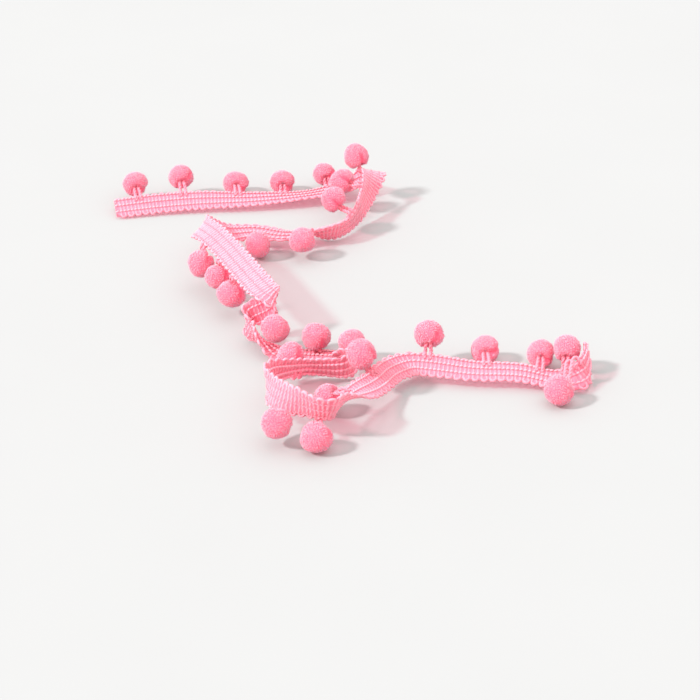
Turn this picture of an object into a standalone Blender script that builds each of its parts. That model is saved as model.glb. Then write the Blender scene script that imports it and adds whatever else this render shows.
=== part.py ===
"""A length of pompom fringe trim: one knitted braid laid in loose folds on a floor, and the pompoms tied to its edge.

The braid is swept along short tables, one for each run or fold. Layout columns are in millimetres and degrees. The edge
columns point from the plain edge to the edge that carries the pompoms.
"""

import math
from collections import namedtuple

import bpy
import numpy as np

MM = 0.001

# The braid's build, in millimetres.
LOOP_PITCH = 2.95
CREST_HALF_THICKNESS = 0.8
VALLEY_HALF_THICKNESS = 0.6
CREST_HALF_WIDTH = 5.5
VALLEY_HALF_WIDTH = 5.1
FACE_SHARE = 0.87
LAY_STEP = 0.5
EASE_PASSES = 14

# The pompoms' build.
RIM_POINTS = 12
DIMPLE_FLOOR = 0.45
LUMP_SHARE = 0.035
# Two waves round the ball: how many lumps each has, and how far it turns from ring to ring, in radians.
LUMP_WAVES = ((3, 1.7), (2, -2.3))
STRAND_GAP = 0.4
STRAND_SPREAD = 0.8
STRAND_HALF_SIDE = 0.4
STRAND_RISE = 0.4
STRAND_CORNERS = ((-1, -1), (1, -1), (1, 1), (-1, 1))

# Height and radius of the ball's rings as shares of its radius: dimple's rim first, far pole last.
BALL_PROFILE = (
    (-0.80, 0.42),
    (-0.80, 0.62),
    (-0.50, 0.87),
    (-0.06, 1.0),
    (0.38, 0.92),
    (0.72, 0.69),
    (0.94, 0.33),
)
# Across and up places of the ring on the dimple's floor, in millimetres: two squares with a little floor round them.
DIMPLE_RING = (
    (1.35, 0.0),
    (1.05, 0.4),
    (0.25, 0.4),
    (0.0, 0.5),
    (-0.25, 0.4),
    (-1.05, 0.4),
    (-1.35, 0.0),
    (-1.05, -0.4),
    (-0.25, -0.4),
    (0.0, -0.5),
    (0.25, -0.4),
    (1.05, -0.4),
)
STRAND_BASES = ((10, 11, 1, 2), (4, 5, 7, 8))
DIMPLE_FLOOR_FACES = ((11, 0, 1), (5, 6, 7), (2, 3, 4, 8, 9, 10))

Station = namedtuple("Station", "x y z edge_azimuth edge_lift")
Pompom = namedtuple("Pompom", "along x y z diameter")

FAR_RUN = (
    Station(-95.0, 109.5, 2.8, 94, 22),
    Station(-81.0, 112.5, 3.4, 93, 24),
    Station(-64.5, 115.0, 3.8, 92, 22),
    Station(-37.5, 117.5, 3.4, 92, 4),
    Station(-13.0, 122.0, 3.8, 93, -8),
)
CREST_FOLD = (
    Station(-4.5, 125.0, 4.6, 104, 0),
    Station(3.0, 129.0, 6.2, 130, 0),
    Station(8.0, 127.5, 10.0, 165, 5),
    Station(9.5, 119.0, 14.3, 188, 18),
    Station(8.0, 111.5, 11.5, 197, 54),
    Station(5.5, 103.5, 8.4, 208, 71),
    Station(2.5, 95.5, 6.6, 271, 77),
)
MIDDLE_RUN = (
    Station(-0.5, 89.0, 5.8, 297, 68),
    Station(-5.0, 84.5, 5.2, 284, 62),
    Station(-10.5, 83.0, 4.8, 272, 52),
    Station(-17.5, 84.0, 4.4, 270, 20),
    Station(-25.5, 81.0, 5.0, 270, 3),
    Station(-37.0, 83.5, 5.5, 270, -5),
    Station(-46.5, 79.5, 7.0, 265, -8),
)
BRIDGE = (
    Station(-53.5, 73.5, 11.3, 250, -16),
    Station(-57.0, 67.5, 15.4, 236, -22),
    Station(-53.5, 58.5, 18.0, 221, -24),
    Station(-47.0, 46.0, 18.4, 214, -26),
    Station(-39.5, 30.0, 18.2, 219, -24),
    Station(-33.0, 16.0, 18.2, 234, -20),
)
HAIRPIN = (
    Station(-29.5, 9.5, 18.2, 244, -14),
    Station(-27.0, 8.0, 17.3, 254, -24),
    Station(-26.5, 9.0, 15.0, 261, -40),
    Station(-29.0, 9.0, 12.6, 266, -58),
    Station(-33.5, 8.5, 10.8, 268, -76),
    Station(-36.0, 8.5, 9.6, 268, -82),
    Station(-37.0, 6.5, 8.4, 265, -80),
    Station(-36.5, 4.5, 6.6, 250, -84),
    Station(-34.0, 2.0, 4.6, 86, -60),
)
FLAT_RUN = (
    Station(-30.5, -1.5, 2.6, 84, -22),
    Station(-26.5, -4.5, 0.9, 88, 0),
    Station(-17.5, -6.5, 0.9, 90, 0),
    Station(-9.0, -7.5, 0.9, 90, 0),
    Station(-4.5, -9.5, 2.2, 84, -12),
)
LOOP_BACK = (
    Station(-1.0, -14.5, 5.0, 66, -50),
    Station(0.5, -20.5, 6.4, 62, -80),
    Station(-2.0, -23.0, 6.4, 90, -76),
    Station(-8.0, -23.0, 6.4, 90, -66),
    Station(-14.5, -23.5, 6.9, 90, -60),
    Station(-22.0, -28.5, 8.6, 80, -60),
)
LOOP_FRONT = (
    Station(-27.5, -37.5, 11.0, 20, -72),
    Station(-26.5, -47.5, 12.2, -110, -62),
    Station(-22.0, -54.0, 13.0, -98, -60),
    Station(-15.5, -58.0, 13.3, 90, -88),
    Station(-9.5, -61.5, 13.2, 90, -72),
    Station(-6.0, -61.5, 13.0, 92, -72),
    Station(-2.5, -55.5, 12.0, 94, -40),
)
NEAR_RUN = (
    Station(2.5, -46.5, 10.2, 95, -6),
    Station(8.5, -37.0, 8.2, 98, 12),
    Station(15.0, -25.0, 6.8, 94, 16),
    Station(21.5, -19.5, 5.8, 90, 18),
    Station(27.5, -20.0, 5.6, 87, 20),
    Station(42.0, -22.0, 4.5, 86, 12),
    Station(59.0, -23.0, 4.2, 85, 8),
    Station(73.0, -25.5, 2.8, 86, 14),
)
TURNED_END = (
    Station(77.0, -26.5, 3.8, 94, 30),
    Station(80.0, -25.5, 5.4, 112, 56),
    Station(82.0, -20.5, 6.2, 135, 70),
    Station(83.0, -12.5, 6.2, 150, 76),
)
BRAID_LAY = (
    FAR_RUN
    + CREST_FOLD
    + MIDDLE_RUN
    + BRIDGE
    + HAIRPIN
    + FLAT_RUN
    + LOOP_BACK
    + LOOP_FRONT
    + NEAR_RUN
    + TURNED_END
)

# The first column is the place of the root along the braid, and the rest is the middle of the ball.
POMPOMS = (
    Pompom(10, -88.0, 123.0, 7.5, 10.0),
    Pompom(28, -69.5, 126.5, 9.0, 10.0),
    Pompom(50, -47.0, 129.0, 5.1, 10.2),
    Pompom(69, -28.0, 130.0, 5.1, 10.2),
    Pompom(89, -10.5, 134.0, 6.8, 9.6),
    Pompom(115, 2.5, 124.0, 19.4, 10.2),
    Pompom(129, -3.0, 112.0, 14.0, 10.0),
    Pompom(150, -6.5, 92.0, 15.5, 10.2),
    Pompom(167, -18.5, 71.0, 8.0, 10.2),
    Pompom(186.5, -35.5, 71.5, 6.0, 10.2),
    Pompom(234.5, -55.8, 46.0, 10.6, 10.2),
    Pompom(248.5, -49.0, 37.0, 10.0, 9.8),
    Pompom(262.5, -43.5, 25.5, 9.0, 10.6),
    Pompom(291.5, -26.5, -1.0, 9.4, 10.4),
    Pompom(333.5, -12.0, -2.5, 6.8, 10.2),
    Pompom(343.5, 0.5, -9.5, 8.8, 9.2),
    Pompom(373.5, -20.5, -16.5, 7.0, 10.0),
    Pompom(408.5, -24.0, -63.0, 8.8, 10.4),
    Pompom(422.5, -11.0, -66.0, 5.3, 10.6),
    Pompom(442.5, -7.5, -44.0, 7.0, 9.4),
    Pompom(459.5, 4.0, -31.5, 16.5, 10.4),
    Pompom(483.5, 27.5, -11.5, 13.0, 10.4),
    Pompom(504.5, 47.5, -9.0, 5.2, 10.4),
    Pompom(522.5, 67.0, -11.5, 5.2, 10.2),
    Pompom(531.5, 75.5, -16.0, 9.9, 9.8),
    Pompom(538.5, 71.0, -36.5, 5.3, 10.6),
)

BRAID_COLOUR = (0.93, 0.47, 0.58, 1.0)
POMPOM_COLOUR = (0.95, 0.36, 0.47, 1.0)
YARN_ROUGHNESS = 0.9


def direction(azimuth, lift):
    """Unit vector at an azimuth from +X and a lift above level, both in degrees."""
    turn = math.radians(azimuth)
    rise = math.radians(lift)
    return (math.cos(rise) * math.cos(turn), math.cos(rise) * math.sin(turn), math.sin(rise))


def unit(vectors):
    return vectors / np.linalg.norm(vectors, axis=-1, keepdims=True)


def lengths_along(points):
    """Distance travelled to each point of a path."""
    steps = np.linalg.norm(np.diff(points, axis=0), axis=1)
    return np.concatenate([[0.0], np.cumsum(steps)])


def slopes(knots, values):
    """Slope of a smooth curve through each value, weighted by the spacing of its neighbours."""
    found = np.empty_like(values)
    found[0] = (values[1] - values[0]) / (knots[1] - knots[0])
    found[-1] = (values[-1] - values[-2]) / (knots[-1] - knots[-2])
    before = (knots[1:-1] - knots[:-2])[:, None]
    after = (knots[2:] - knots[1:-1])[:, None]
    falling = (values[1:-1] - values[:-2]) / before
    rising = (values[2:] - values[1:-1]) / after
    found[1:-1] = (falling * after + rising * before) / (before + after)
    return found


def curve_through(knots, values, at):
    """Cubic curve through the values, read at the given places."""
    slope = slopes(knots, values)
    left = np.clip(np.searchsorted(knots, at, side="right") - 1, 0, len(knots) - 2)
    span = (knots[left + 1] - knots[left])[:, None]
    u = (at - knots[left])[:, None] / span
    return (
        (2 * u**3 - 3 * u**2 + 1) * values[left]
        + (u**3 - 2 * u**2 + u) * span * slope[left]
        + (3 * u**2 - 2 * u**3) * values[left + 1]
        + (u**3 - u**2) * span * slope[left + 1]
    )


def eased(values, passes):
    """The values with sharp changes rounded off, as cloth rounds a fold."""
    values = values.copy()
    for _ in range(passes):
        values[1:-1] = 0.25 * values[:-2] + 0.5 * values[1:-1] + 0.25 * values[2:]
    return values


def evenly(values, travelled, at):
    """The rows of values read at even distances along a path."""
    return np.stack([np.interp(at, travelled, column) for column in values.T], axis=1)


class Lay:
    """The middle line of the braid and the way its edge and its face point along it."""

    def __init__(self, stations):
        places = np.array([(s.x, s.y, s.z) for s in stations])
        edges = np.array([direction(s.edge_azimuth, s.edge_lift) for s in stations])
        knots = lengths_along(places)
        at = np.arange(0.0, knots[-1], LAY_STEP / 2)
        middle = curve_through(knots, places, at)
        travelled = lengths_along(middle)
        even = np.arange(0.0, travelled[-1], LAY_STEP)
        middle = eased(evenly(middle, travelled, even), EASE_PASSES)
        edge = eased(evenly(curve_through(knots, edges, at), travelled, even), EASE_PASSES)
        travelled = lengths_along(middle)
        self.length = travelled[-1]
        self.at = np.linspace(0.0, self.length, int(self.length / LAY_STEP) + 1)
        self.middle = evenly(middle, travelled, self.at)
        self.ahead = unit(np.gradient(self.middle, axis=0))
        edge = evenly(edge, travelled, self.at)
        self.edge = unit(edge - np.sum(edge * self.ahead, axis=1, keepdims=True) * self.ahead)
        self.face = np.cross(self.ahead, self.edge)
        self.rest_on_floor()

    def rest_on_floor(self):
        """Lifts the parts that would dip under the floor until their lowest corner touches it."""
        sag = np.full(len(self.at), np.inf)
        for across in (-CREST_HALF_WIDTH, CREST_HALF_WIDTH):
            for out in (-CREST_HALF_THICKNESS, CREST_HALF_THICKNESS):
                sag = np.minimum(sag, self.middle[:, 2] + across * self.edge[:, 2] + out * self.face[:, 2])
        needed = np.maximum(0.0, -sag)
        lift = needed
        for _ in range(4 * EASE_PASSES):
            lift = np.maximum(needed, eased(lift, 1))
        self.middle[:, 2] += lift

    def point(self, along, across, out):
        """The point at a place along the braid, across its width and out from its face."""
        row = [np.interp(along, self.at, column) for column in self.middle.T]
        edge = [np.interp(along, self.at, column) for column in self.edge.T]
        face = [np.interp(along, self.at, column) for column in self.face.T]
        return np.array(row) + across * unit(np.array(edge)) + out * unit(np.array(face))

    def heading(self, along):
        return unit(np.array([np.interp(along, self.at, column) for column in self.ahead.T]))


def braid_section(half_width, half_thickness):
    """Across and out offsets of one ring of the braid, from the pompom edge over the face and back."""
    shoulder = half_width * FACE_SHARE
    return (
        (half_width, 0.0),
        (shoulder, half_thickness),
        (0.0, half_thickness),
        (-shoulder, half_thickness),
        (-half_width, 0.0),
        (-shoulder, -half_thickness),
        (0.0, -half_thickness),
        (shoulder, -half_thickness),
    )


def tube_faces(rings, around):
    """Quads that join rings of equal length, with a cap at each end."""
    faces = []
    for ring in range(rings - 1):
        for point in range(around):
            after = (point + 1) % around
            near = ring * around
            far = near + around
            faces.append((near + point, near + after, far + after, far + point))
    faces.append(tuple(range(around))[::-1])
    faces.append(tuple(range((rings - 1) * around, rings * around)))
    return faces


def braid_mesh(lay):
    """One body, with a raised rib for each knitted loop and a scalloped edge."""
    crest = braid_section(CREST_HALF_WIDTH, CREST_HALF_THICKNESS)
    valley = braid_section(VALLEY_HALF_WIDTH, VALLEY_HALF_THICKNESS)
    loops = int(lay.length / LOOP_PITCH)
    stops = np.linspace(0.0, lay.length, 2 * loops + 1)
    points = []
    for number, along in enumerate(stops):
        section = crest if number % 2 else valley
        points.extend(lay.point(along, across, out) for across, out in section)
    return points, tube_faces(len(stops), len(crest))


def lump(number, row, turn):
    """How far the ball swells or sinks at one place of a ring, as a share of its radius."""
    (lumps, twist), (slow_lumps, slow_twist) = LUMP_WAVES
    wave = math.sin(lumps * turn + twist * row + number)
    slow_wave = math.sin(slow_lumps * turn + slow_twist * row)
    return LUMP_SHARE * wave * slow_wave


def ball_points(number, pompom, middle, away, side, normal):
    """Rings of a lumpy ball, from the rim of its dimple to the far pole."""
    radius = pompom.diameter / 2
    turns = np.arange(RIM_POINTS) * 2 * math.pi / RIM_POINTS
    points = []
    for row, (height, spread) in enumerate(BALL_PROFILE):
        for turn in turns:
            reach = radius * spread * (1 + lump(number, row, turn))
            around = math.cos(turn) * side + math.sin(turn) * normal
            points.append(middle + radius * height * away + reach * around)
    return points


def dimple_floor(pompom, middle, away, side, normal):
    """The ring at the bottom of the dimple, which holds the squares that the two strands rise from."""
    depth = middle - DIMPLE_FLOOR * pompom.diameter / 2 * away
    return [depth + across * side + up * normal for across, up in DIMPLE_RING]


def strand_points(lay, pompom, away, base, sign):
    """Two rings of one strand: its end just clear of the braid, and the bend where it leaves the dimple."""
    along = pompom.along + sign * STRAND_SPREAD
    heading = lay.heading(along)
    edge = unit(lay.point(along, CREST_HALF_WIDTH, 0.0) - lay.point(along, 0.0, 0.0))
    out = unit(edge + away)
    across = unit(np.cross(out, heading))
    side = np.cross(across, out)
    lean = np.linalg.norm(np.cross(out, edge))
    clear = STRAND_GAP + STRAND_HALF_SIDE * lean
    end_middle = lay.point(along, CREST_HALF_WIDTH + clear, 0.0)
    end = [end_middle + sign * STRAND_HALF_SIDE * (a * side + b * across) for a, b in STRAND_CORNERS]
    bend = [corner - STRAND_RISE * pompom.diameter / 2 * away for corner in base]
    return end + bend


def pompom_mesh(lay, number, pompom):
    """A lumpy ball with a dimple, and the two strands that rise out of the dimple to the braid."""
    root = lay.point(pompom.along, CREST_HALF_WIDTH, 0.0)
    middle = np.array([pompom.x, pompom.y, pompom.z])
    away = unit(middle - root)
    heading = lay.heading(pompom.along)
    side = unit(heading - np.dot(heading, away) * away)
    normal = np.cross(away, side)
    floor = dimple_floor(pompom, middle, away, side, normal)
    points = floor + ball_points(number, pompom, middle, away, side, normal)
    rings = len(BALL_PROFILE) + 1
    faces = tube_faces(rings, RIM_POINTS)
    del faces[-2]
    faces.extend(polygon[::-1] for polygon in DIMPLE_FLOOR_FACES)
    for sign, base in ((1, STRAND_BASES[0]), (-1, STRAND_BASES[1])):
        start = len(points)
        points += strand_points(lay, pompom, away, [points[corner] for corner in base], sign)
        end_ring = tuple(range(start, start + 4))
        bend_ring = tuple(range(start + 4, start + 8))
        faces.append(end_ring[::-1])
        faces += joined(end_ring, bend_ring)
        faces += joined(bend_ring, base)
    return [(x, y, max(z, 0.0)) for x, y, z in points], faces


def joined(near, far):
    """Quads between two rings given by their point numbers."""
    count = len(near)
    return [(near[k], near[(k + 1) % count], far[(k + 1) % count], far[k]) for k in range(count)]


def yarn_material(name, colour):
    material = bpy.data.materials.new(name)
    material.use_nodes = True
    shader = material.node_tree.nodes["Principled BSDF"]
    shader.inputs["Base Color"].default_value = colour
    shader.inputs["Roughness"].default_value = YARN_ROUGHNESS
    material.diffuse_color = colour
    return material


def add_object(name, points, faces, material):
    mesh = bpy.data.meshes.new(name)
    mesh.from_pydata([tuple(point) for point in points], [], faces)
    mesh.polygons.foreach_set("use_smooth", [True] * len(mesh.polygons))
    mesh.materials.append(material)
    bpy.context.scene.collection.objects.link(bpy.data.objects.new(name, mesh))


def centred(pieces):
    """The pieces in metres, with the middle of their footprint over the origin."""
    every = np.concatenate([np.array(points) for points, _ in pieces.values()])
    middle = (every.min(axis=0) + every.max(axis=0)) / 2
    shift = np.array([middle[0], middle[1], 0.0])
    return {name: ((np.array(points) - shift) * MM, faces) for name, (points, faces) in pieces.items()}


def clear_scene():
    for existing in list(bpy.data.objects):
        bpy.data.objects.remove(existing, do_unlink=True)


def main():
    clear_scene()
    lay = Lay(BRAID_LAY)
    pieces = {"braid": braid_mesh(lay)}
    for number, pompom in enumerate(POMPOMS, start=1):
        pieces[f"pompom_{number:02d}"] = pompom_mesh(lay, number, pompom)
    braid_yarn = yarn_material("braid_yarn", BRAID_COLOUR)
    pompom_yarn = yarn_material("pompom_yarn", POMPOM_COLOUR)
    for name, (points, faces) in centred(pieces).items():
        add_object(name, points, faces, braid_yarn if name == "braid" else pompom_yarn)


main()
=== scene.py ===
"""The looks of a pompom fringe trim: its yarns, its cut pile, and the light and camera of a plain studio.

The lay of the braid repeats the tables of its solid, in millimetres and degrees. Each yarn is laid by its
place along the braid, across it towards the edge with the pompoms, and out from its face. Everything becomes
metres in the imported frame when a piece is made.
"""

import math
from collections import namedtuple

import bmesh
import bpy
import numpy as np
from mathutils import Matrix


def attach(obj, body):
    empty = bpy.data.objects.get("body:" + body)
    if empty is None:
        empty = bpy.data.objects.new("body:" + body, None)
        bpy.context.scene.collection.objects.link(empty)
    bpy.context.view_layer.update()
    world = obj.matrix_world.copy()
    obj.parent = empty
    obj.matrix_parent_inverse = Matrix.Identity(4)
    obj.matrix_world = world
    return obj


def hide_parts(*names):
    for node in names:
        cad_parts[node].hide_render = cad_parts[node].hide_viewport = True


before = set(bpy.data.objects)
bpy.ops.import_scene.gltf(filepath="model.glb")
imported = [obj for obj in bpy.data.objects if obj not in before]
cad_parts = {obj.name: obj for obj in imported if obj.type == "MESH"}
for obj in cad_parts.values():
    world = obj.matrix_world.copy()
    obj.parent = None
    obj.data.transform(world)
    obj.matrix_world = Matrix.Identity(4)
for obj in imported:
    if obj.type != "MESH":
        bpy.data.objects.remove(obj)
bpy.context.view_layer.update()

MM = 0.001
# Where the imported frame's origin lies in the layout of the tables, in millimetres.
ROW_ORIGIN = (-5.704, 33.706, 0.0)
# Nothing dips lower than this, in millimetres.
FLOOR_CLEARANCE = 0.02

# The braid's build, in millimetres.
FLAT_WIDTH = 11.0
CREST_HALF_WIDTH = FLAT_WIDTH / 2
CREST_HALF_THICKNESS = 0.8
LOOP_PITCH = 2.95
LAY_STEP = 0.5
EASE_PASSES = 14
FLOOR_PASSES = 4 * EASE_PASSES

# One place of the braid's middle line, and the way from there to the edge with the pompoms, in degrees.
Station = namedtuple("Station", "x y z edge_azimuth edge_lift")
# The place of a pompom's root along the braid, the middle of its ball and the ball's size.
Pompom = namedtuple("Pompom", "along x y z diameter")
# How far a stitch reaches as a share of the ribs' spacing, how far it slants across the braid, how far out
# from the braid's middle its ends lie, and how much further out its middle stands.
Stitch = namedtuple("Stitch", "reach slant out rise")

FAR_RUN = (
    Station(-95.0, 109.5, 2.8, 94, 22),
    Station(-81.0, 112.5, 3.4, 93, 24),
    Station(-64.5, 115.0, 3.8, 92, 22),
    Station(-37.5, 117.5, 3.4, 92, 4),
    Station(-13.0, 122.0, 3.8, 93, -8),
)
CREST_FOLD = (
    Station(-4.5, 125.0, 4.6, 104, 0),
    Station(3.0, 129.0, 6.2, 130, 0),
    Station(8.0, 127.5, 10.0, 165, 5),
    Station(9.5, 119.0, 14.3, 188, 18),
    Station(8.0, 111.5, 11.5, 197, 54),
    Station(5.5, 103.5, 8.4, 208, 71),
    Station(2.5, 95.5, 6.6, 271, 77),
)
MIDDLE_RUN = (
    Station(-0.5, 89.0, 5.8, 297, 68),
    Station(-5.0, 84.5, 5.2, 284, 62),
    Station(-10.5, 83.0, 4.8, 272, 52),
    Station(-17.5, 84.0, 4.4, 270, 20),
    Station(-25.5, 81.0, 5.0, 270, 3),
    Station(-37.0, 83.5, 5.5, 270, -5),
    Station(-46.5, 79.5, 7.0, 265, -8),
)
BRIDGE = (
    Station(-53.5, 73.5, 11.3, 250, -16),
    Station(-57.0, 67.5, 15.4, 236, -22),
    Station(-53.5, 58.5, 18.0, 221, -24),
    Station(-47.0, 46.0, 18.4, 214, -26),
    Station(-39.5, 30.0, 18.2, 219, -24),
    Station(-33.0, 16.0, 18.2, 234, -20),
)
HAIRPIN = (
    Station(-29.5, 9.5, 18.2, 244, -14),
    Station(-27.0, 8.0, 17.3, 254, -24),
    Station(-26.5, 9.0, 15.0, 261, -40),
    Station(-29.0, 9.0, 12.6, 266, -58),
    Station(-33.5, 8.5, 10.8, 268, -76),
    Station(-36.0, 8.5, 9.6, 268, -82),
    Station(-37.0, 6.5, 8.4, 265, -80),
    Station(-36.5, 4.5, 6.6, 250, -84),
    Station(-34.0, 2.0, 4.6, 86, -60),
)
FLAT_RUN = (
    Station(-30.5, -1.5, 2.6, 84, -22),
    Station(-26.5, -4.5, 0.9, 88, 0),
    Station(-17.5, -6.5, 0.9, 90, 0),
    Station(-9.0, -7.5, 0.9, 90, 0),
    Station(-4.5, -9.5, 2.2, 84, -12),
)
LOOP_BACK = (
    Station(-1.0, -14.5, 5.0, 66, -50),
    Station(0.5, -20.5, 6.4, 62, -80),
    Station(-2.0, -23.0, 6.4, 90, -76),
    Station(-8.0, -23.0, 6.4, 90, -66),
    Station(-14.5, -23.5, 6.9, 90, -60),
    Station(-22.0, -28.5, 8.6, 80, -60),
)
LOOP_FRONT = (
    Station(-27.5, -37.5, 11.0, 20, -72),
    Station(-26.5, -47.5, 12.2, -110, -62),
    Station(-22.0, -54.0, 13.0, -98, -60),
    Station(-15.5, -58.0, 13.3, 90, -88),
    Station(-9.5, -61.5, 13.2, 90, -72),
    Station(-6.0, -61.5, 13.0, 92, -72),
    Station(-2.5, -55.5, 12.0, 94, -40),
)
NEAR_RUN = (
    Station(2.5, -46.5, 10.2, 95, -6),
    Station(8.5, -37.0, 8.2, 98, 12),
    Station(15.0, -25.0, 6.8, 94, 16),
    Station(21.5, -19.5, 5.8, 90, 18),
    Station(27.5, -20.0, 5.6, 87, 20),
    Station(42.0, -22.0, 4.5, 86, 12),
    Station(59.0, -23.0, 4.2, 85, 8),
    Station(73.0, -25.5, 2.8, 86, 14),
)
TURNED_END = (
    Station(77.0, -26.5, 3.8, 94, 30),
    Station(80.0, -25.5, 5.4, 112, 56),
    Station(82.0, -20.5, 6.2, 135, 70),
    Station(83.0, -12.5, 6.2, 150, 76),
)
BRAID_LAY = (
    FAR_RUN
    + CREST_FOLD
    + MIDDLE_RUN
    + BRIDGE
    + HAIRPIN
    + FLAT_RUN
    + LOOP_BACK
    + LOOP_FRONT
    + NEAR_RUN
    + TURNED_END
)

POMPOMS = (
    Pompom(10, -88.0, 123.0, 7.5, 10.0),
    Pompom(28, -69.5, 126.5, 9.0, 10.0),
    Pompom(50, -47.0, 129.0, 5.1, 10.2),
    Pompom(69, -28.0, 130.0, 5.1, 10.2),
    Pompom(89, -10.5, 134.0, 6.8, 9.6),
    Pompom(115, 2.5, 124.0, 19.4, 10.2),
    Pompom(129, -3.0, 112.0, 14.0, 10.0),
    Pompom(150, -6.5, 92.0, 15.5, 10.2),
    Pompom(167, -18.5, 71.0, 8.0, 10.2),
    Pompom(186.5, -35.5, 71.5, 6.0, 10.2),
    Pompom(234.5, -55.8, 46.0, 10.6, 10.2),
    Pompom(248.5, -49.0, 37.0, 10.0, 9.8),
    Pompom(262.5, -43.5, 25.5, 9.0, 10.6),
    Pompom(291.5, -26.5, -1.0, 9.4, 10.4),
    Pompom(333.5, -12.0, -2.5, 6.8, 10.2),
    Pompom(343.5, 0.5, -9.5, 8.8, 9.2),
    Pompom(373.5, -20.5, -16.5, 7.0, 10.0),
    Pompom(408.5, -24.0, -63.0, 8.8, 10.4),
    Pompom(422.5, -11.0, -66.0, 5.3, 10.6),
    Pompom(442.5, -7.5, -44.0, 7.0, 9.4),
    Pompom(459.5, 4.0, -31.5, 16.5, 10.4),
    Pompom(483.5, 27.5, -11.5, 13.0, 10.4),
    Pompom(504.5, 47.5, -9.0, 5.2, 10.4),
    Pompom(522.5, 67.0, -11.5, 5.2, 10.2),
    Pompom(531.5, 75.5, -16.0, 9.9, 9.8),
    Pompom(538.5, 71.0, -36.5, 5.3, 10.6),
)

# Fine points to each knot of a smooth path.
KNOT_POINTS = 12
# How fast the pattern of fine fibres changes round a yarn, and its shift from one yarn to the next.
FIBRE_ROUND = 3
FIBRE_SHIFT = 7

# Yarns of the braid, in millimetres. A plied yarn is two strands twisted round each other.
PLY_RADIUS = 0.43
PLY_SPREAD = 0.14
PLY_SIDES = 5
TWIST_PITCH = 3.0
WEFT_STEP = 0.46
# How far the weft strays from its even course, along and across the braid.
WEFT_STRAY = (0.07, 0.13)
WEFT_SEED = 5
# The weft's tone, with painted shade that makes it deeper on the face between the pale stitches, which shade
# it, than on the back.
WEFT_TONE = 0.6
FACE_SHADE = 0.14
# Each row of stitches draws the weft in: the share of its radius that it loses, and how far from the row.
PINCH_SHARE = 0.28
PINCH_REACH = 0.7
# Where the rows of stitches lie across the braid.
STITCH_ROWS = (3.9, 0.9, -2.3)
CHAIN_STITCH = Stitch(0.48, 0.12, 0.4, 0.32)
CHAIN_RADII = (0.2, 0.34, 0.43, 0.46, 0.43, 0.34, 0.2)
CHAIN_SIDES = 6
# Painted highlight: the chain stitches, which stand out on the face, are coloured paler than the weft.
CHAIN_TONE = 0.74
BACK_STITCH = Stitch(0.5, 0.14, -0.25, -0.34)
BACK_RADII = (0.16,) * 6
BACK_SIDES = 4
BACK_TONE = 0.55
GROUND_HALF_WIDTH = 4.6
GROUND_HALF_THICKNESS = 0.2
GROUND_COLUMNS = 9
# Painted shade: the ground, seen between the ribs, is coloured deep.
GROUND_TONE = 0.2
# One turn of the weft at the braid's edge: place along from the loop's middle, and distance in from its tip.
EDGE_LOOP = (
    (-0.74, 2.1),
    (-0.92, 1.0),
    (-0.64, 0.25),
    (0.0, 0.0),
    (0.64, 0.25),
    (0.92, 1.0),
    (0.74, 2.1),
)

# The balls' form, as shares of the radius, and in degrees from the tie.
PILE_SEED = 41
LUMP_SHARE = 0.03
LUMP_WAVES = (2.6, 3.1, 3.4)
LUMP_LEAN = 1.5
SQUASH_SHARE = 0.05
DIMPLE_DEPTH = 0.42
DIMPLE_ANGLES = (8, 38)
# The pile parts in a cleft that runs from the tie round one side of the ball.
CLEFT_WAY = (0.7, -0.7, 0.0)
CLEFT_STRAY = 0.5
CLEFT_DEPTH = 0.26
CLEFT_HALF_WIDTH = 0.19
CLEFT_START = 0.15
CLEFT_ANGLES = (70, 115)
CORE_SHARE = 0.9
CORE_SUBDIVISIONS = 4
# Painted shade: the core, seen between the tufts, is coloured deep.
CORE_TONE = 0.15

# The cut ends of the pile: their lengths as shares of the ball's radius, and their thickness in millimetres.
# Each tuft leans towards the middle of its clump, and strays a little from the clump's height and shade.
TUFTS = 1500
TUFT_ROOT_SHARE = 0.84
TUFT_HEIGHTS = (0.98, 1.015)
TUFT_RADIUS = 0.2
TUFT_WIDTHS = (0.75, 1.25)
TUFT_TAPER = 0.9
TUFT_BLUNTNESS = 0.5
TUFT_STRAY = 0.02
TUFT_SHADE = 0.15
# The tones of a tuft's points, as painted shade that is deep at its root among the other tufts and light at
# its end: three at its root, three round its end, and the tip.
TUFT_TONES = (0.0, 0.0, 0.0, 0.75, 0.75, 0.75, 0.9)
CLUMPS = 300
CLUMP_PULL = 0.3
CLUMP_HEIGHTS = (0.95, 1.0)
CLUMP_SHADE = 0.2
# Painted shade in the cleft, as a loss of tone.
CLEFT_SHADE = 0.8
# How far tufts and clumps stray from an even spread, over the square root of their number.
RAY_STRAY = 0.35

# Loose fibre ends, in millimetres.
HAIRS = 500
HAIR_ROOT_SHARE = 0.95
HAIR_RADIUS = 0.05
HAIR_LENGTHS = (0.4, 0.95)
HAIR_STRAY = 0.5

# The two tie strands of each pompom, in millimetres. They lie this far to each side of the root.
STRAND_SPREAD = 1.0
STRAND_PLY_RADIUS = 0.44
STRAND_PLY_SPREAD = 0.3
STRAND_SIDES = 6
STRAND_STEP = 0.35
STRAND_TONE = 0.42
# Places of a strand on the braid, across it and out from its face: under the stitches, and then over the
# edge. A ball that lies back over the braid is tied in at the edge alone.
STRAND_IN_FACE = ((2.4, 0.3), (3.8, 0.95))
STRAND_IN_EDGE = ((5.0, 0.2),)
STRAND_OVER_EDGE = (5.8, 0.45)
# A ball lies back when the cosine between its way out and the braid's edge is less than this.
LIES_BACK = -0.2
# Places of a strand in the ball's dimple: down from the middle as a share of the radius, and aside.
STRAND_AT_MOUTH = (0.8, 0.85)
STRAND_INSIDE = (0.4, 0.7)
# A ball's tie points at this place above its root, across the braid and out from its face.
TIE_ACROSS = 3.9
TIE_OUT = 2.0
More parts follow.
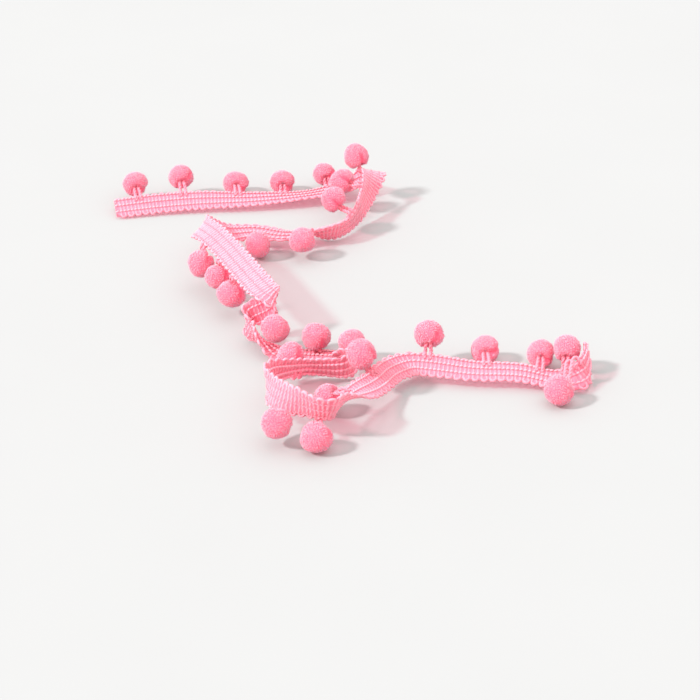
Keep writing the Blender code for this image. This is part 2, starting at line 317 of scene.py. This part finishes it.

# Colours of the fibres where they lie deep, as painted shade, and at their outer ends, their sheen, and the
# scale and strength of their uneven patches of dye.
YARN_DEEP = (1.0, 0.16, 0.25, 1)
YARN_LIGHT = (1.0, 0.47, 0.55, 1)
YARN_SHEEN = 0.2
YARN_PATCH_SCALE = 260.0
PILE_DEEP = (0.92, 0.14, 0.23, 1)
PILE_LIGHT = (0.92, 0.46, 0.565, 1)
PILE_SHEEN = 0.3
PILE_PATCH_SCALE = 420.0
PATCH_SHARE = 0.2
# Share of the light that passes through each surface of the yarn and the pile, and what it is tinted with.
YARN_PASSES = 0.95
PILE_PASSES = 0.8
PASSING_TINT = (1.0, 0.8, 0.85, 1)
# Painted glow: an emission that stands for the light scattering about inside the pile, and the tone at which
# it ends.
INNER_LIGHT = (0.9, 0.1, 0.2, 1)
INNER_STRENGTH = 0.32
INNER_END = 0.75


def direction(azimuth, lift):
    """Unit vector at an azimuth from +X and a lift above level, both in degrees."""
    turn = math.radians(azimuth)
    rise = math.radians(lift)
    return (math.cos(rise) * math.cos(turn), math.cos(rise) * math.sin(turn), math.sin(rise))


def unit(vectors):
    return vectors / np.linalg.norm(vectors, axis=-1, keepdims=True)


def smooth_step(low, high, values):
    """Shares that rise smoothly from 0 at low to 1 at high."""
    share = np.clip((values - low) / (high - low), 0.0, 1.0)
    return share * share * (3 - 2 * share)


def lengths_along(points):
    """Distance travelled to each point of a path."""
    steps = np.linalg.norm(np.diff(points, axis=0), axis=1)
    return np.concatenate([[0.0], np.cumsum(steps)])


def slopes(knots, values):
    """Slope of a smooth curve through each value, weighted by the spacing of its neighbours."""
    found = np.empty_like(values)
    found[0] = (values[1] - values[0]) / (knots[1] - knots[0])
    found[-1] = (values[-1] - values[-2]) / (knots[-1] - knots[-2])
    before = (knots[1:-1] - knots[:-2])[:, None]
    after = (knots[2:] - knots[1:-1])[:, None]
    falling = (values[1:-1] - values[:-2]) / before
    rising = (values[2:] - values[1:-1]) / after
    found[1:-1] = (falling * after + rising * before) / (before + after)
    return found


def curve_through(knots, values, at):
    """Cubic curve through the values, read at the given places."""
    slope = slopes(knots, values)
    left = np.clip(np.searchsorted(knots, at, side="right") - 1, 0, len(knots) - 2)
    span = (knots[left + 1] - knots[left])[:, None]
    u = (at - knots[left])[:, None] / span
    return (
        (2 * u**3 - 3 * u**2 + 1) * values[left]
        + (u**3 - 2 * u**2 + u) * span * slope[left]
        + (3 * u**2 - 2 * u**3) * values[left + 1]
        + (u**3 - u**2) * span * slope[left + 1]
    )


def eased(values, passes):
    """The values with sharp changes rounded off, as cloth rounds a fold."""
    values = values.copy()
    for _ in range(passes):
        values[1:-1] = 0.25 * values[:-2] + 0.5 * values[1:-1] + 0.25 * values[2:]
    return values


def evenly(values, travelled, at):
    """The rows of values read at even distances along a path."""
    return np.stack([np.interp(at, travelled, column) for column in values.T], axis=1)


def smooth_path(knots, step):
    """A smooth path through a list of points, with points at even distances."""
    knots = np.array(knots, float)
    stops = lengths_along(knots)
    fine = curve_through(stops, knots, np.linspace(0.0, stops[-1], KNOT_POINTS * len(knots)))
    travelled = lengths_along(fine)
    return evenly(fine, travelled, np.linspace(0.0, travelled[-1], int(travelled[-1] / step) + 1))


class Lay:
    """The middle line of the braid and the way its edge and its face point along it."""

    def __init__(self, stations):
        places = np.array([(s.x, s.y, s.z) for s in stations])
        edges = np.array([direction(s.edge_azimuth, s.edge_lift) for s in stations])
        knots = lengths_along(places)
        at = np.arange(0.0, knots[-1], LAY_STEP / 2)
        middle = curve_through(knots, places, at)
        travelled = lengths_along(middle)
        even = np.arange(0.0, travelled[-1], LAY_STEP)
        middle = eased(evenly(middle, travelled, even), EASE_PASSES)
        edge = eased(evenly(curve_through(knots, edges, at), travelled, even), EASE_PASSES)
        travelled = lengths_along(middle)
        self.length = travelled[-1]
        self.at = np.linspace(0.0, self.length, int(self.length / LAY_STEP) + 1)
        self.middle = evenly(middle, travelled, self.at)
        self.ahead = unit(np.gradient(self.middle, axis=0))
        edge = evenly(edge, travelled, self.at)
        self.edge = unit(edge - np.sum(edge * self.ahead, axis=1, keepdims=True) * self.ahead)
        self.face = np.cross(self.ahead, self.edge)
        self.rest_on_floor()

    def rest_on_floor(self):
        """Lifts the parts that would dip under the floor until their lowest corner touches it."""
        sag = np.full(len(self.at), np.inf)
        for across in (-CREST_HALF_WIDTH, CREST_HALF_WIDTH):
            for out in (-CREST_HALF_THICKNESS, CREST_HALF_THICKNESS):
                sag = np.minimum(sag, self.middle[:, 2] + across * self.edge[:, 2] + out * self.face[:, 2])
        needed = np.maximum(0.0, -sag)
        lift = needed
        for _ in range(FLOOR_PASSES):
            lift = np.maximum(needed, eased(lift, 1))
        self.middle[:, 2] += lift

    def read(self, rows, along):
        """The rows of vectors read at places along the braid, of any array shape."""
        return np.stack([np.interp(along, self.at, column) for column in rows.T], axis=-1)

    def heading(self, along):
        return unit(self.read(self.ahead, along))

    def face_at(self, along):
        return unit(self.read(self.face, along))

    def edge_at(self, along):
        return unit(self.read(self.edge, along))

    def place(self, along, across, out):
        """Points at places along the braid, across its width and out from its face."""
        along, across, out = np.broadcast_arrays(along, across, out)
        sideways = across[..., None] * self.edge_at(along)
        return self.read(self.middle, along) + sideways + out[..., None] * self.face_at(along)


class Body:
    """One mesh while it grows. Each point has a tone, from 0 deep inside to 1 at the outer tips, and the
    colour runs from deep to light with it as painted shade.
    """

    def __init__(self):
        self.points = []
        self.tones = []
        self.fibres = []
        self.faces = []
        self.count = 0

    def add(self, points, tones, faces, fibres=None):
        """Adds points, their tones, lists of faces by corner count, and places along and round the yarn."""
        points = points.reshape(-1, 3)
        self.points.append(points)
        self.tones.append(np.broadcast_to(tones, len(points)) if np.ndim(tones) == 0 else tones.reshape(-1))
        self.fibres.append(points if fibres is None else fibres.reshape(-1, 3))
        self.faces.extend(group + self.count for group in faces)
        self.count += len(points)


def tube_faces(count, stops, sides):
    """Faces of closed tubes: quads between rings, and a fan of triangles at each end."""
    index = np.arange(count * stops * sides).reshape(count, stops, sides)
    near = index[:, :-1]
    far = index[:, 1:]
    walls = np.stack([near, np.roll(near, -1, axis=2), np.roll(far, -1, axis=2), far], axis=-1)
    first = index[:, 0]
    last = index[:, -1]
    starts = [first[:, [0, k + 1, k]] for k in range(1, sides - 1)]
    ends = [last[:, [0, k, k + 1]] for k in range(1, sides - 1)]
    return [walls.reshape(-1, 4), np.concatenate(starts + ends)]


def add_tubes(body, paths, ups, radii, sides, tones):
    """Closed tubes round many paths with as many points each. ups gives a direction square to each path."""
    count, stops = paths.shape[:2]
    ahead = unit(np.gradient(paths, axis=1))
    side = unit(np.cross(ups, ahead))
    up = np.cross(ahead, side)
    turns = np.arange(sides) * 2 * math.pi / sides
    wide = np.cos(turns)[:, None] * side[:, :, None]
    high = np.sin(turns)[:, None] * up[:, :, None]
    radii = np.broadcast_to(radii, (count, stops))
    points = paths[:, :, None] + radii[:, :, None, None] * (wide + high)
    travelled = np.cumsum(np.linalg.norm(np.diff(paths, axis=1, prepend=paths[:, :1]), axis=2), axis=1)
    fibres = np.empty(points.shape)
    fibres[..., 0] = travelled[:, :, None]
    fibres[..., 1] = FIBRE_ROUND * np.cos(turns) + FIBRE_SHIFT * np.arange(count)[:, None, None]
    fibres[..., 2] = FIBRE_ROUND * np.sin(turns)
    tones = np.broadcast_to(tones, points.shape[:3]) if np.ndim(tones) == 0 else tones
    body.add(points, tones, tube_faces(count, stops, sides), fibres)


def add_plied_yarn(body, path, ups, ply_radius, ply_spread, sides, tones):
    """Two strands twisted round each other along one path."""
    ahead = unit(np.gradient(path, axis=0))
    side = unit(np.cross(ups, ahead))
    up = np.cross(ahead, side)
    phase = (lengths_along(path) * 2 * math.pi / TWIST_PITCH)[:, None]
    swing = ply_spread * (np.cos(phase) * side + np.sin(phase) * up)
    plies = np.stack([path + swing, path - swing])
    add_tubes(body, plies, np.stack([up, up]), ply_radius, sides, tones)


def weft_route(loops):
    """Places along and across of the yarn that crosses the braid there and back in each loop."""
    tip = CREST_HALF_WIDTH - PLY_RADIUS - PLY_SPREAD
    route = []
    for turn in range(2 * loops - 1):
        sign = 1 if turn % 2 == 0 else -1
        middle = (turn + 1) * LOOP_PITCH / 2
        route.extend((middle + along, sign * (tip - inward)) for along, inward in EDGE_LOOP)
        route.append((middle + LOOP_PITCH / 4, 0.0))
    rng = np.random.default_rng(WEFT_SEED)
    return np.array(route) + rng.normal(0.0, WEFT_STRAY, (len(route), 2))


def braid_weft(lay):
    """The ribs of the braid: one plied yarn that bulges between the rows of stitches."""
    loops = int(lay.length / LOOP_PITCH)
    route = weft_route(loops)
    stretch = lay.length / (loops * LOOP_PITCH)
    knots = np.column_stack([route[:, 0] * stretch, route[:, 1], np.zeros(len(route))])
    path = smooth_path(knots, WEFT_STEP)
    pinch = np.zeros(len(path))
    for row in STITCH_ROWS:
        pinch = np.maximum(pinch, np.exp(-(((path[:, 1] - row) / PINCH_REACH) ** 2)))
    body = Body()
    ups = lay.face_at(path[:, 0])
    places = lay.place(path[:, 0], path[:, 1], 0.0)
    turns = np.arange(PLY_SIDES) * 2 * math.pi / PLY_SIDES
    tones = np.broadcast_to(WEFT_TONE - FACE_SHADE * np.sin(turns), (2, len(path), PLY_SIDES))
    add_plied_yarn(body, places, ups, PLY_RADIUS * (1 - PINCH_SHARE * pinch), PLY_SPREAD, PLY_SIDES, tones)
    return body


def crossing_places(lay):
    """Places along the braid where the weft crosses it."""
    loops = int(lay.length / LOOP_PITCH)
    step = lay.length / (2 * loops)
    return (np.arange(2 * loops) + 0.5) * step, step


def braid_stitches(lay, stitch, radii, sides, tone):
    """Rows of stitches on one side of the braid, one over each rib."""
    body = Body()
    places, step = crossing_places(lay)
    share = np.linspace(-1.0, 1.0, len(radii))
    hump = np.cos(share * math.pi / 2)
    for row in STITCH_ROWS:
        along = places[:, None] + stitch.reach * step * share
        across = row + stitch.slant * share
        out = stitch.out + stitch.rise * hump
        paths = lay.place(along, across[None, :], out[None, :])
        add_tubes(body, paths, lay.face_at(along), np.array(radii), sides, tone)
    return body


def braid_chains(lay):
    """The chain stitches on the face: plump over each rib, and thin where they dip between ribs."""
    return braid_stitches(lay, CHAIN_STITCH, CHAIN_RADII, CHAIN_SIDES, CHAIN_TONE)


def braid_back(lay):
    """The thin bars of the stitches on the back."""
    return braid_stitches(lay, BACK_STITCH, BACK_RADII, BACK_SIDES, BACK_TONE)


def braid_ground(lay):
    """The thin web of threads inside the braid, seen between its ribs, as one closed ribbon coloured deep as
    painted shade between the ribs.
    """
    stops = int(lay.length / (LOOP_PITCH / 2))
    along = np.linspace(0.0, lay.length, stops)
    columns = np.linspace(GROUND_HALF_WIDTH, -GROUND_HALF_WIDTH, GROUND_COLUMNS)
    across = np.concatenate([columns, columns[::-1]])
    out = GROUND_HALF_THICKNESS * np.repeat([1.0, -1.0], GROUND_COLUMNS)
    points = lay.place(along[:, None], across[None, :], out[None, :])
    body = Body()
    body.add(points, GROUND_TONE, tube_faces(1, stops, len(across)))
    return body


def pompom_axes(lay, pompom):
    """The ball's middle, its way out from the stitches that tie it, and two more axes square to it."""
    root = lay.place(pompom.along, TIE_ACROSS, TIE_OUT)
    middle = np.array([pompom.x, pompom.y, pompom.z])
    away = unit(middle - root)
    heading = lay.heading(pompom.along)
    side = unit(heading - np.dot(heading, away) * away)
    return middle, np.stack([side, np.cross(away, side), away])


def even_rays(count, rng):
    """Unit vectors spread evenly over a ball, each a little out of place."""
    number = np.arange(count) + 0.5
    height = 1 - 2 * number / count
    spread = np.sqrt(1 - height**2)
    turn = number * math.pi * (3 - math.sqrt(5))
    rays = np.column_stack([spread * np.cos(turn), spread * np.sin(turn), height])
    return unit(rays + rng.normal(0.0, RAY_STRAY / math.sqrt(count), rays.shape))


def angle_from_tie(rays):
    """Degrees between each ray and the way to the tie, which is the ball's own -Z."""
    return np.degrees(np.arccos(np.clip(-rays[:, 2], -1.0, 1.0)))


class BallShape:
    """The outline of one ball: its lumps, its squash, the dimple of its tie and the cleft beside the tie."""

    def __init__(self, pompom, axes, rng):
        self.radius = pompom.diameter / 2
        self.phases = rng.uniform(0.0, 2 * math.pi, 3)
        self.squash = rng.uniform(-SQUASH_SHARE, SQUASH_SHARE, 2)
        way = axes @ np.array(CLEFT_WAY)
        self.cleft_turn = math.atan2(way[1], way[0]) + rng.uniform(-CLEFT_STRAY, CLEFT_STRAY)

    def cleft(self, rays):
        """How far each ray lies in the cleft, from 0 to 1."""
        x, y, _ = rays.T
        turn = self.cleft_turn
        ahead = x * math.cos(turn) + y * math.sin(turn)
        aside = y * math.cos(turn) - x * math.sin(turn)
        length = (1 - smooth_step(*CLEFT_ANGLES, angle_from_tie(rays))) * smooth_step(0.0, CLEFT_START, ahead)
        return length * np.exp(-((aside / CLEFT_HALF_WIDTH) ** 2))

    def reach(self, rays):
        """Distance from the middle to the ball's surface along each ray."""
        x, y, z = rays.T
        lumps = np.sin(LUMP_WAVES[0] * x + self.phases[0]) * np.sin(LUMP_WAVES[1] * y + self.phases[1])
        lumps += np.sin(LUMP_WAVES[2] * z + self.phases[2] + LUMP_LEAN * x)
        squash = self.squash[0] * (x**2 - y**2) + self.squash[1] * (3 * z**2 - 1) / 2
        dimple = 1 - DIMPLE_DEPTH * (1 - smooth_step(*DIMPLE_ANGLES, angle_from_tie(rays)))
        return self.radius * (1 + LUMP_SHARE * lumps + squash) * dimple * (1 - CLEFT_DEPTH * self.cleft(rays))


def core_rays():
    """The corners and faces of a fine round shell."""
    shell = bmesh.new()
    bmesh.ops.create_icosphere(shell, subdivisions=CORE_SUBDIVISIONS, radius=1.0)
    rays = np.array([corner.co for corner in shell.verts])
    faces = np.array([[corner.index for corner in face.verts] for face in shell.faces])
    shell.free()
    return rays, faces


def corners_round(ways, rng):
    """Three directions square to each way, spread evenly round it from a random start."""
    helper = unit(rng.normal(size=ways.shape))
    first = unit(np.cross(ways, helper))
    second = np.cross(ways, first)
    turns = np.arange(3) * 2 * math.pi / 3
    return np.stack([math.cos(t) * first + math.sin(t) * second for t in turns], axis=1)


def tuft_faces():
    """Faces of a ball's tufts, with seven points each: walls, a blunt end and a closed root."""
    base = 7 * np.arange(TUFTS)[:, None]
    walls = np.concatenate([base + [k, (k + 1) % 3, 3 + (k + 1) % 3, 3 + k] for k in range(3)])
    caps = np.concatenate([base + [3 + k, 3 + (k + 1) % 3, 6] for k in range(3)] + [base + [0, 2, 1]])
    return [walls, caps]


def hair_faces():
    """Faces of a ball's loose fibres, with four points each."""
    base = 4 * np.arange(HAIRS)[:, None]
    return [np.concatenate([base + [k, (k + 1) % 3, 3] for k in range(3)] + [base + [0, 2, 1]])]


def add_tufts(body, middle, axes, shape, rng):
    """The cut ends of the pile: short blunt tufts that stand out from the core."""
    rays = even_rays(TUFTS, rng)
    clumps = even_rays(CLUMPS, rng)
    clump = np.argmax(rays @ clumps.T, axis=1)
    height = rng.uniform(*CLUMP_HEIGHTS, CLUMPS)[clump]
    shade = rng.uniform(-CLUMP_SHADE, CLUMP_SHADE, (CLUMPS, 1))[clump]
    reach = shape.reach(rays)
    roots = rays * (TUFT_ROOT_SHARE * reach)[:, None]
    ends = unit(rays + CLUMP_PULL * (clumps[clump] - rays) + rng.normal(0.0, TUFT_STRAY, rays.shape))
    tips = ends * (reach * height * rng.uniform(*TUFT_HEIGHTS, TUFTS))[:, None]
    lean = unit(tips - roots)
    corners = corners_round(lean, rng)
    size = TUFT_RADIUS * rng.uniform(*TUFT_WIDTHS, TUFTS)[:, None]
    root_ring = roots[:, None] + TUFT_TAPER * size[:, None] * corners
    tip_ring = tips[:, None] + size[:, None] * corners
    apex = (tips + TUFT_BLUNTNESS * size * lean)[:, None]
    points = np.concatenate([root_ring, tip_ring, apex], axis=1) @ axes + middle
    shade = shade + rng.uniform(-TUFT_SHADE, TUFT_SHADE, (TUFTS, 1))
    # Painted shade: the tufts in the cleft are coloured deeper.
    shade = shade - CLEFT_SHADE * shape.cleft(rays)[:, None]
    body.add(points, np.clip(np.array(TUFT_TONES) + shade, 0.0, 1.0), tuft_faces())


def add_hairs(body, middle, axes, shape, rng):
    """Loose fibre ends that soften the ball's outline."""
    rays = unit(rng.normal(size=(HAIRS, 3)))
    ways = unit(rays + rng.normal(0.0, HAIR_STRAY, rays.shape))
    roots = rays * (HAIR_ROOT_SHARE * shape.reach(rays))[:, None]
    root_ring = roots[:, None] + HAIR_RADIUS * corners_round(ways, rng)
    tips = (roots + ways * rng.uniform(*HAIR_LENGTHS, (HAIRS, 1)))[:, None]
    points = np.concatenate([root_ring, tips], axis=1) @ axes + middle
    body.add(points, 1.0, hair_faces())


def pompom_pile(lay, number, pompom, shell):
    """A clipped yarn ball: a lumpy core, coloured dark as painted shade between the tufts, and the tufts and
    hairs that cover it.
    """
    rng = np.random.default_rng(PILE_SEED + number)
    middle, axes = pompom_axes(lay, pompom)
    shape = BallShape(pompom, axes, rng)
    body = Body()
    rays, faces = shell
    core = rays * (CORE_SHARE * shape.reach(rays))[:, None]
    body.add(core @ axes + middle, CORE_TONE, [faces])
    add_tufts(body, middle, axes, shape, rng)
    add_hairs(body, middle, axes, shape, rng)
    return body


def strand_route(lay, pompom, sign):
    """Points of one tie strand: from its hold in the braid over the edge and down into the ball's dimple."""
    middle, (side, _, away) = pompom_axes(lay, pompom)
    lies_back = np.dot(lay.edge_at(pompom.along), away) < LIES_BACK
    held = STRAND_IN_EDGE if lies_back else STRAND_IN_FACE
    along = pompom.along + sign * STRAND_SPREAD
    route = [lay.place(along, across, out) for across, out in (*held, STRAND_OVER_EDGE)]
    for down, aside in (STRAND_AT_MOUTH, STRAND_INSIDE):
        route.append(middle - down * pompom.diameter / 2 * away + sign * aside * side)
    return route


def pompom_strands(lay, pompom):
    """The two plied strands that tie a pompom to the braid's edge."""
    body = Body()
    for sign in (1, -1):
        path = smooth_path(strand_route(lay, pompom, sign), STRAND_STEP)
        ups = np.broadcast_to(lay.heading(pompom.along), path.shape)
        add_plied_yarn(body, path, ups, STRAND_PLY_RADIUS, STRAND_PLY_SPREAD, STRAND_SIDES, STRAND_TONE)
    return body


def body_mesh(name, body):
    """A smooth mesh of a finished body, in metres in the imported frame."""
    points = (np.concatenate(body.points) - ROW_ORIGIN) * MM
    points[:, 2] = np.maximum(points[:, 2], FLOOR_CLEARANCE * MM)
    corners = [group.reshape(-1) for group in body.faces]
    sizes = np.concatenate([np.full(len(group), group.shape[1]) for group in body.faces])
    mesh = bpy.data.meshes.new(name)
    mesh.vertices.add(len(points))
    mesh.vertices.foreach_set("co", points.astype(np.float32).ravel())
    mesh.loops.add(int(sizes.sum()))
    mesh.loops.foreach_set("vertex_index", np.concatenate(corners).astype(np.int32))
    mesh.polygons.add(len(sizes))
    mesh.polygons.foreach_set("loop_start", np.concatenate([[0], np.cumsum(sizes)[:-1]]).astype(np.int32))
    mesh.polygons.foreach_set("use_smooth", np.ones(len(sizes), bool))
    tone = mesh.attributes.new("tone", "FLOAT", "POINT")
    tone.data.foreach_set("value", np.concatenate(body.tones).astype(np.float32))
    fibre = mesh.attributes.new("fibre", "FLOAT_VECTOR", "POINT")
    fibre.data.foreach_set("vector", np.concatenate(body.fibres).astype(np.float32).ravel())
    mesh.update(calc_edges=True)
    mesh.validate()
    return mesh


def add_piece(name, body, material):
    """Makes one piece of the part from a finished body, and lets it ride on the part."""
    mesh = body_mesh(name, body)
    mesh.materials.append(material)
    piece = bpy.data.objects.new(name, mesh)
    bpy.context.scene.collection.objects.link(piece)
    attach(piece, "root")
    return piece


def new_material(name):
    material = bpy.data.materials.new(name)
    material.use_nodes = True
    return material, material.node_tree.nodes, material.node_tree.links


def soft_fibre_shader(shader, sheen):
    """Settings that yarn and pile share: matt, with a pale sheen."""
    shader.inputs["Roughness"].default_value = 0.9
    shader.inputs["Specular IOR Level"].default_value = 0.25
    shader.inputs["Sheen Weight"].default_value = sheen
    shader.inputs["Sheen Roughness"].default_value = 0.45
    shader.inputs["Sheen Tint"].default_value = (1.0, 0.7, 0.78, 1.0)


def toned_colour(nodes, links, deep, light, patch_scale):
    """A colour that runs from deep to light with the tone, which paints shade, with soft uneven patches of
    dye.
    """
    tone = nodes.new("ShaderNodeAttribute")
    tone.attribute_name = "tone"
    place = nodes.new("ShaderNodeTexCoord")
    patches = nodes.new("ShaderNodeTexNoise")
    patches.inputs["Scale"].default_value = patch_scale
    patches.inputs["Detail"].default_value = 3.0
    links.new(place.outputs["Object"], patches.inputs["Vector"])
    shifted = nodes.new("ShaderNodeMath")
    shifted.operation = "MULTIPLY_ADD"
    shifted.inputs[1].default_value = PATCH_SHARE
    links.new(patches.outputs["Fac"], shifted.inputs[0])
    links.new(tone.outputs["Fac"], shifted.inputs[2])
    ramp = nodes.new("ShaderNodeValToRGB")
    ramp.color_ramp.elements[0].position = PATCH_SHARE / 2
    ramp.color_ramp.elements[0].color = deep
    ramp.color_ramp.elements[1].position = 1.0
    ramp.color_ramp.elements[1].color = light
    links.new(shifted.outputs["Value"], ramp.inputs["Fac"])
    return ramp.outputs["Color"]


def painted_inner_glow(nodes, links, shader):
    """Painted glow for the light that scatters about inside the pile: a faint emission deep down, which fades
    towards the tips.
    """
    tone = nodes.new("ShaderNodeAttribute")
    tone.attribute_name = "tone"
    fade = nodes.new("ShaderNodeMapRange")
    fade.inputs["From Max"].default_value = INNER_END
    fade.inputs["To Min"].default_value = INNER_STRENGTH
    fade.inputs["To Max"].default_value = 0.0
    links.new(tone.outputs["Fac"], fade.inputs["Value"])
    shader.inputs["Emission Color"].default_value = INNER_LIGHT
    links.new(fade.outputs["Result"], shader.inputs["Emission Strength"])


def fibre_bump(nodes, links):
    """Fine fibres that run along the yarn."""
    fibre = nodes.new("ShaderNodeAttribute")
    fibre.attribute_name = "fibre"
    strands = nodes.new("ShaderNodeTexNoise")
    strands.inputs["Scale"].default_value = 1.6
    strands.inputs["Detail"].default_value = 4.0
    links.new(fibre.outputs["Vector"], strands.inputs["Vector"])
    bump = nodes.new("ShaderNodeBump")
    bump.inputs["Strength"].default_value = 0.6
    bump.inputs["Distance"].default_value = 0.0001
    links.new(strands.outputs["Fac"], bump.inputs["Height"])
    return bump.outputs["Normal"]


def let_light_through(nodes, links, shader, share):
    """Lets a share of the lamps' and the bounced light through each surface of the fibres, and tints it."""
    path = nodes.new("ShaderNodeLightPath")
    either = nodes.new("ShaderNodeMath")
    either.operation = "MAXIMUM"
    links.new(path.outputs["Is Shadow Ray"], either.inputs[0])
    links.new(path.outputs["Is Diffuse Ray"], either.inputs[1])
    passing = nodes.new("ShaderNodeMath")
    passing.operation = "MULTIPLY"
    passing.inputs[1].default_value = share
    links.new(either.outputs["Value"], passing.inputs[0])
    clear = nodes.new("ShaderNodeBsdfTransparent")
    clear.inputs["Color"].default_value = PASSING_TINT
    mix = nodes.new("ShaderNodeMixShader")
    links.new(passing.outputs["Value"], mix.inputs["Fac"])
    links.new(shader.outputs["BSDF"], mix.inputs[1])
    links.new(clear.outputs["BSDF"], mix.inputs[2])
    links.new(mix.outputs["Shader"], nodes["Material Output"].inputs["Surface"])


def yarn_material():
    """Soft plied yarn of the braid and the tie strands, with painted shade where it lies deep."""
    material, nodes, links = new_material("braid_yarn_look")
    shader = nodes["Principled BSDF"]
    soft_fibre_shader(shader, YARN_SHEEN)
    colour = toned_colour(nodes, links, YARN_DEEP, YARN_LIGHT, YARN_PATCH_SCALE)
    links.new(colour, shader.inputs["Base Color"])
    links.new(fibre_bump(nodes, links), shader.inputs["Normal"])
    let_light_through(nodes, links, shader, YARN_PASSES)
    return material


def pile_material():
    """Cut pile of the pompoms, with painted shade that makes it deeper in colour between the tufts, and a
    painted glow deep down.
    """
    material, nodes, links = new_material("pompom_pile_look")
    shader = nodes["Principled BSDF"]
    soft_fibre_shader(shader, PILE_SHEEN)
    colour = toned_colour(nodes, links, PILE_DEEP, PILE_LIGHT, PILE_PATCH_SCALE)
    links.new(colour, shader.inputs["Base Color"])
    painted_inner_glow(nodes, links, shader)
    material.cycles.emission_sampling = "NONE"
    let_light_through(nodes, links, shader, PILE_PASSES)
    return material


FLOOR_HALF_SIZE = 3.0
FLOOR_DARKEST = (0.425, 0.425, 0.423, 1)
FLOOR_LIGHTEST = (0.437, 0.437, 0.435, 1)


def floor_material():
    """Smooth pale board with a very faint mottle."""
    material, nodes, links = new_material("floor_board")
    shader = nodes["Principled BSDF"]
    shader.inputs["Roughness"].default_value = 0.8
    shader.inputs["Specular IOR Level"].default_value = 0.2
    place = nodes.new("ShaderNodeTexCoord")
    mottle = nodes.new("ShaderNodeTexNoise")
    mottle.inputs["Scale"].default_value = 14.0
    links.new(place.outputs["Object"], mottle.inputs["Vector"])
    ramp = nodes.new("ShaderNodeValToRGB")
    ramp.color_ramp.elements[0].color = FLOOR_DARKEST
    ramp.color_ramp.elements[1].color = FLOOR_LIGHTEST
    links.new(mottle.outputs["Fac"], ramp.inputs["Fac"])
    links.new(ramp.outputs["Color"], shader.inputs["Base Color"])
    return material


def add_floor():
    mesh = bpy.data.meshes.new("floor")
    half = FLOOR_HALF_SIZE
    corners = [(-half, -half, 0), (half, -half, 0), (half, half, 0), (-half, half, 0)]
    mesh.from_pydata(corners, [], [(0, 1, 2, 3)])
    mesh.materials.append(floor_material())
    floor = bpy.data.objects.new("floor", mesh)
    bpy.context.scene.collection.objects.link(floor)


# The way the key light shines, its height above the horizon and its apparent size, in degrees.
KEY_AZIMUTH = 17
KEY_ELEVATION = 40
KEY_SPREAD = 6
KEY_STRENGTH = 3.2
# The fill light at the horizon and overhead.
FILL_LOW = 0.6
FILL_HIGH = 1.9


def add_light():
    """A small key light from the left, and a soft fill all round that is brightest overhead."""
    lamp = bpy.data.lights.new("key", "SUN")
    lamp.angle = math.radians(KEY_SPREAD)
    lamp.energy = KEY_STRENGTH
    key = bpy.data.objects.new("key", lamp)
    bpy.context.scene.collection.objects.link(key)
    key.rotation_euler = (0.0, math.radians(90 - KEY_ELEVATION), math.radians(KEY_AZIMUTH + 180))
    world = bpy.data.worlds.new("studio")
    world.use_nodes = True
    nodes = world.node_tree.nodes
    links = world.node_tree.links
    place = nodes.new("ShaderNodeTexCoord")
    parts = nodes.new("ShaderNodeSeparateXYZ")
    links.new(place.outputs["Generated"], parts.inputs["Vector"])
    brightness = nodes.new("ShaderNodeMapRange")
    brightness.inputs["To Min"].default_value = FILL_LOW
    brightness.inputs["To Max"].default_value = FILL_HIGH
    links.new(parts.outputs["Z"], brightness.inputs["Value"])
    background = nodes["Background"]
    background.inputs["Color"].default_value = (1.0, 0.995, 0.99, 1)
    links.new(brightness.outputs["Result"], background.inputs["Strength"])
    bpy.context.scene.world = world
    bpy.context.scene.view_settings.view_transform = "Standard"


# The camera's angle above the floor in degrees, its distance in metres, and its lens and sensor in
# millimetres.
CAMERA_PITCH = 30
CAMERA_DISTANCE = 0.7
CAMERA_LENS = 100.8
CAMERA_SENSOR = 36


def add_camera():
    """The photo's view, looking along +Y and down at the layout's origin."""
    lens = bpy.data.cameras.new("camera")
    lens.lens = CAMERA_LENS
    lens.sensor_width = CAMERA_SENSOR
    lens.clip_end = 50
    camera = bpy.data.objects.new("camera", lens)
    bpy.context.scene.collection.objects.link(camera)
    pitch = math.radians(CAMERA_PITCH)
    target = -np.array(ROW_ORIGIN) * MM
    back = CAMERA_DISTANCE * np.array([0.0, -math.cos(pitch), math.sin(pitch)])
    camera.location = target + back
    camera.rotation_euler = (math.pi / 2 - pitch, 0.0, 0.0)
    bpy.context.scene.camera = camera


def add_braid(lay, yarn):
    """The braid's pieces, shown in place of the braid's solid, which is hidden."""
    weft = add_piece("braid_weft", braid_weft(lay), yarn)
    chains = add_piece("braid_chains", braid_chains(lay), yarn)
    back = add_piece("braid_back", braid_back(lay), yarn)
    ground = add_piece("braid_ground", braid_ground(lay), yarn)
    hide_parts("braid")


def add_pompoms(lay, yarn, pile):
    """Each pompom's pile, shown in place of its hidden solid, and its two tie strands."""
    shell = core_rays()
    for number, pompom in enumerate(POMPOMS, start=1):
        node = f"pompom_{number:02d}"
        body = pompom_pile(lay, number, pompom, shell)
        ball = add_piece(f"{node}_pile", body, pile)
        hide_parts(node)
        add_piece(f"{node}_strands", pompom_strands(lay, pompom), yarn)


add_camera()
add_light()
add_floor()
braid_lay = Lay(BRAID_LAY)
yarn_look = yarn_material()
add_braid(braid_lay, yarn_look)
add_pompoms(braid_lay, yarn_look, pile_material())
bpy.context.view_layer.update()
